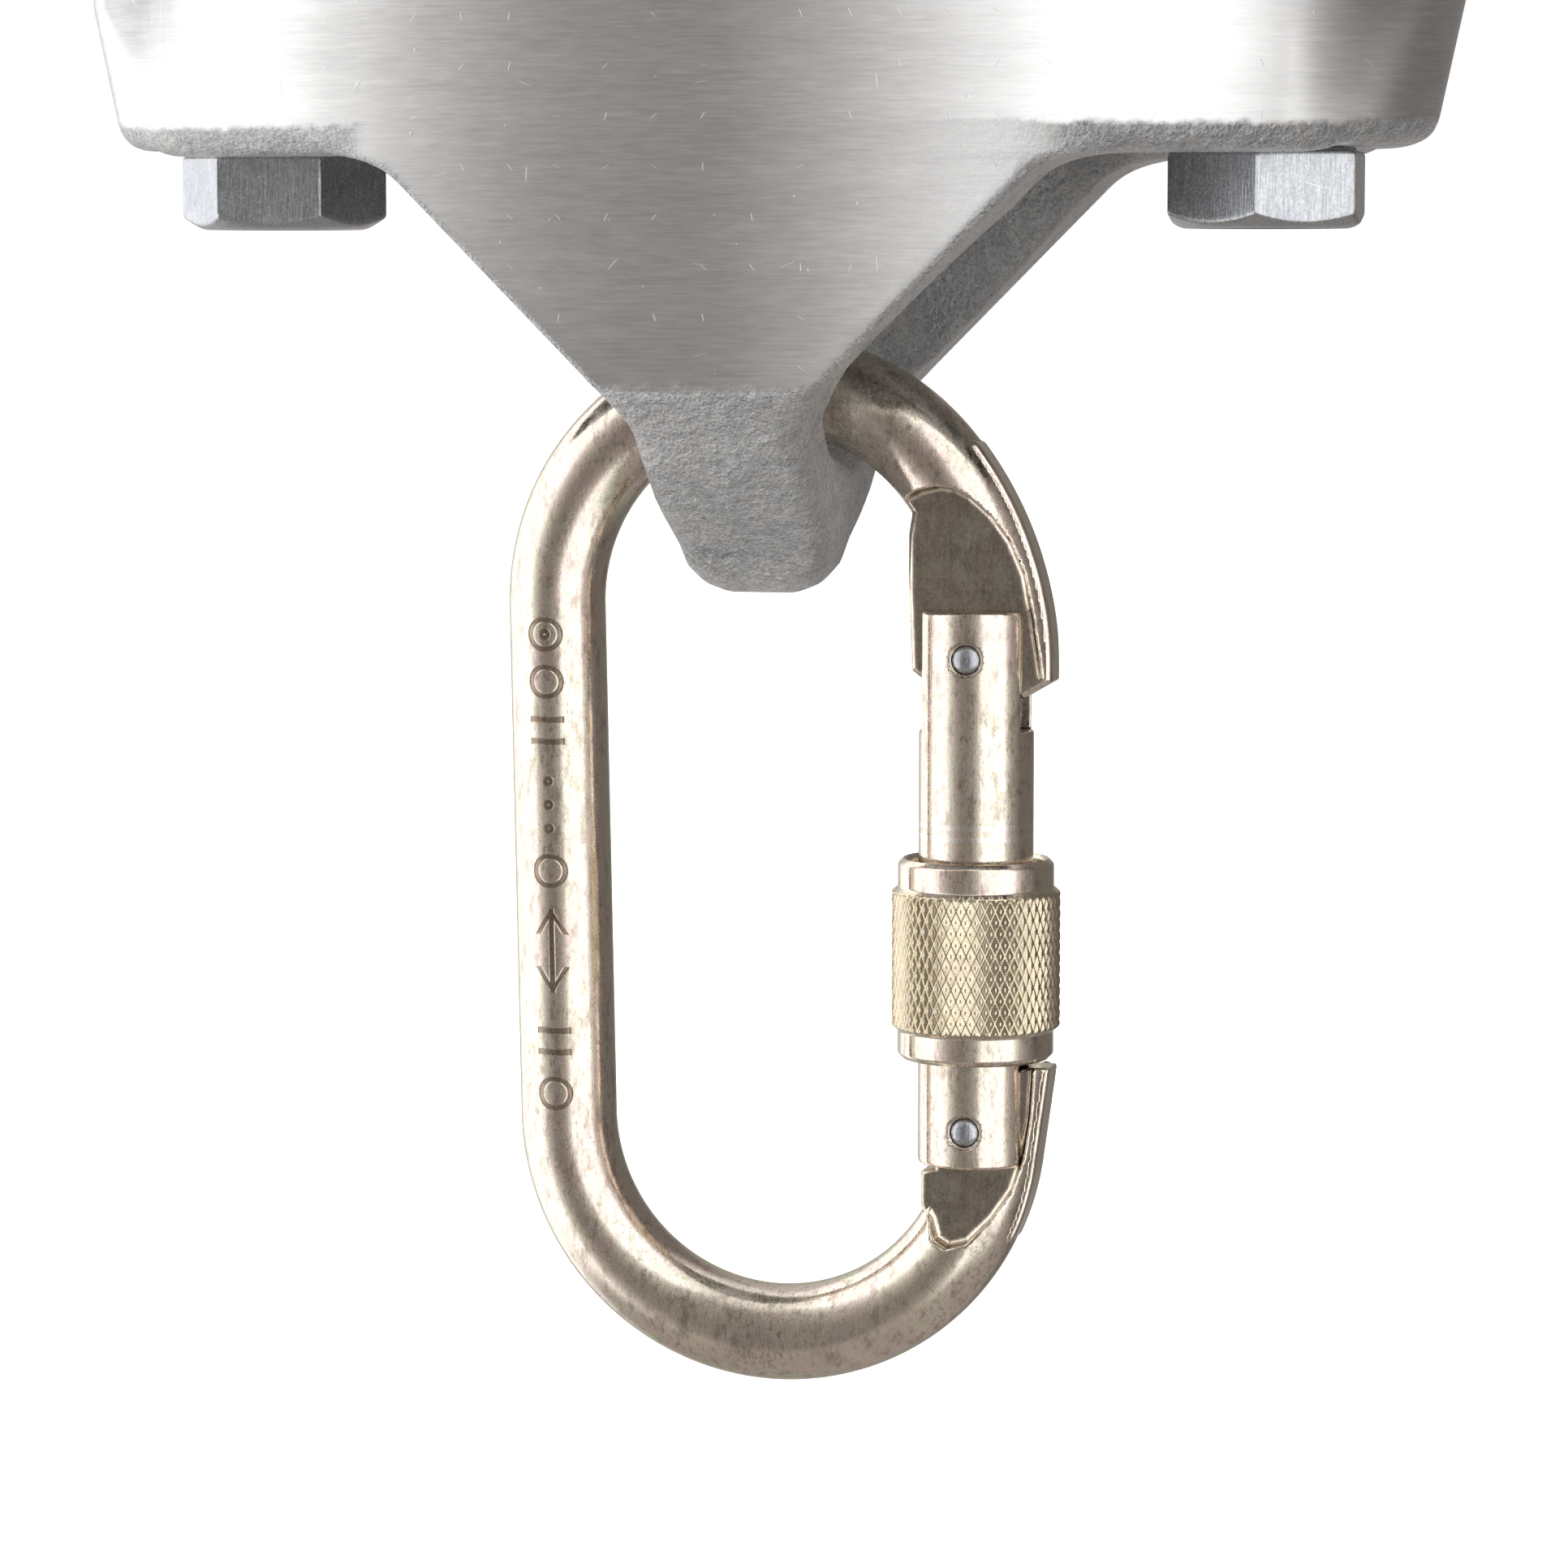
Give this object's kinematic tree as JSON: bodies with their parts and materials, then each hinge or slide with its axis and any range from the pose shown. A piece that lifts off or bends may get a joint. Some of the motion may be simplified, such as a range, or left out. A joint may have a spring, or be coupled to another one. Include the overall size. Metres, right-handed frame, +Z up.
{
  "type": "roof anchor",
  "caption": "Fall-arrest anchor: a cast aluminium body clamped under a beam flange by two bolted jaws, with a screw-gate karabiner hanging in its eye.",
  "frame": {"origin": "centre of the machined bearing face on top of the body", "axes": "+X along the wing towards the karabiner's gate side, +Y from the front cheek to the back cheek, +Z up out of the bearing face"},
  "size_m": [0.1452, 0.051, 0.2195],
  "materials": {
    "cast_body": "cast, front face brushed",
    "zinc_bolt": "clear zinc plate",
    "jaw_steel": "forged and clear zinc plated",
    "zinc_nut": "clear zinc plate",
    "nylon": "matte",
    "yellow_zinc": "yellow passivated zinc plate, semi-bright",
    "pin_steel": "yellow passivated zinc plate",
    "spring_steel": "bright"
  },
  "bodies": {
    "anchor": {"anchor_body": "cast_body"},
    "bolt_left": {"clamp_bolt_left": "zinc_bolt"},
    "bolt_right": {"clamp_bolt_right": "zinc_bolt"},
    "jaw_left": {"clamp_jaw_left": "jaw_steel", "jaw_nut_left": "zinc_nut", "nut_insert_left": "nylon"},
    "jaw_right": {"clamp_jaw_right": "jaw_steel", "jaw_nut_right": "zinc_nut", "nut_insert_right": "nylon"},
    "karabiner": {"karabiner_body": "yellow_zinc"},
    "gate": {"gate_tube": "yellow_zinc", "hinge_pin": "pin_steel", "latch_pin": "pin_steel", "gate_spring": "spring_steel"},
    "plunger": {"spring_plunger": "spring_steel"},
    "ring": {"sleeve_friction_ring": "nylon"},
    "sleeve": {"locking_sleeve": "yellow_zinc"}
  },
  "joints": [
    {"name": "bolt_left_spin", "type": "hinge", "parent": "anchor", "child": "bolt_left", "pos_m": [-0.0527, 0, -0.036], "axis": [0, 0, 1], "range_deg": [-2880, 0]},
    {"name": "bolt_right_spin", "type": "hinge", "parent": "anchor", "child": "bolt_right", "pos_m": [0.0527, 0, -0.036], "axis": [0, 0, 1], "range_deg": [-2880, 0]},
    {"name": "jaw_left_slide", "type": "slide", "parent": "anchor", "child": "jaw_left", "axis": [0, 0, 1], "range_m": [0, 0.01399]},
    {"name": "jaw_right_slide", "type": "slide", "parent": "anchor", "child": "jaw_right", "axis": [0, 0, 1], "range_m": [0, 0.01399]},
    {"name": "karabiner_swing", "type": "hinge", "parent": "anchor", "child": "karabiner", "pos_m": [0.0006, 0, -0.06], "axis": [1, 0, 0], "range_deg": [-75, 75]},
    {"name": "gate_hinge", "type": "hinge", "parent": "karabiner", "child": "gate", "pos_m": [0.02275, 0, -0.0884], "axis": [0, 1, 0], "range_deg": [0, 22], "stiffness_Nm_per_rad": 0.08, "springref_deg": -20.05},
    {"name": "plunger_slide", "type": "slide", "parent": "gate", "child": "plunger", "axis": [0, 0, -1], "range_m": [0, 0.00076], "deforming": ["gate_spring"]},
    {"name": "sleeve_slide", "type": "slide", "parent": "gate", "child": "ring", "axis": [0, 0, 1], "range_m": [0, 0.00599]},
    {"name": "sleeve_spin", "type": "hinge", "parent": "ring", "child": "sleeve", "pos_m": [0.02275, 0, -0.1196], "axis": [0, 0, 1], "range_deg": [0, 1080]}
  ],
  "couplings": [
    {"joint": "bolt_left_spin", "follows": "jaw_left_slide", "rad_per_m": -3590.4},
    {"joint": "bolt_right_spin", "follows": "jaw_right_slide", "rad_per_m": -3590.4},
    {"joint": "plunger_slide", "follows": "gate_hinge", "m_per_rad": 0.0019533},
    {"joint": "sleeve_spin", "follows": "sleeve_slide", "rad_per_m": 3141.6}
  ]
}
